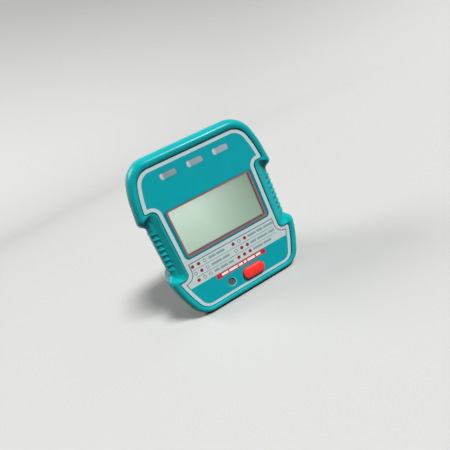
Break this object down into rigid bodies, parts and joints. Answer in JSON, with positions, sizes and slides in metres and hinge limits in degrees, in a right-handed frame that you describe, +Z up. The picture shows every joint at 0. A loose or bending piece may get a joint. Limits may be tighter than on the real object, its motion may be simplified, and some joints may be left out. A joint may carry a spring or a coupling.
{
  "type": "plug-in mains socket tester",
  "caption": "Plug-in mains socket tester with a liquid crystal display, lamp windows, a sprung residual-current test button, ribbed side grips and a round earthed plug.",
  "frame": {"origin": "centre of the plug nose's end face, where it meets the bottom of a wall socket", "axes": "+X right of the face, +Y from the face towards the wall socket, +Z up"},
  "size_m": [0.0672, 0.0688, 0.0762],
  "materials": {
    "housing": "satin moulded ABS",
    "label": "printed polycarbonate film",
    "window": "clear acrylic",
    "light_pipe": "smoked translucent acrylic",
    "lamp": "diffused epoxy",
    "display": "polarised glass",
    "diffuser": "white moulding",
    "contact_strip": "elastomer",
    "board": "solder mask on glass fibre",
    "screw": "zinc plated",
    "button": "satin moulded",
    "black_plastic": "moulded",
    "mesh": "woven dust mesh",
    "capacitor_yellow": "moulded box",
    "capacitor_sleeve": "shrink sleeve",
    "resistor_body": "ceramic box",
    "plug_plastic": "satin moulded",
    "pin_metal": "nickel plated brass"
  },
  "bodies": {
    "case": {"front_housing": "housing", "rear_housing": "housing", "face_label": "label", "display_window": "window", "light_pipe_left": "light_pipe", "light_pipe_middle": "light_pipe", "light_pipe_right": "light_pipe", "lamp_left": "lamp", "lamp_middle": "lamp", "lamp_right": "lamp", "display_glass": "display", "display_backlight": "diffuser", "display_frame": "diffuser", "contact_strip": "contact_strip", "display_board": "board", "board_screws": "screw", "tact_switch": "black_plastic", "port_mesh": "mesh", "sounder": "black_plastic", "controller_chip": "black_plastic", "board_header": "black_plastic", "mains_board": "board", "mains_capacitor": "capacitor_yellow", "smoothing_capacitor": "capacitor_sleeve", "load_resistors": "resistor_body", "bridge_rectifier": "black_plastic", "plug_body": "plug_plastic", "live_pin": "pin_metal", "neutral_pin": "pin_metal", "earth_bracket": "pin_metal", "earth_sleeve": "pin_metal", "case_screws": "screw"},
    "button": {"rcd_button": "button", "switch_plunger": "black_plastic"}
  },
  "joints": [
    {"name": "button_press", "type": "slide", "parent": "case", "child": "button", "axis": [0, 1, 0], "range_m": [0, 0.0008], "stiffness_N_per_m": 2500}
  ]
}
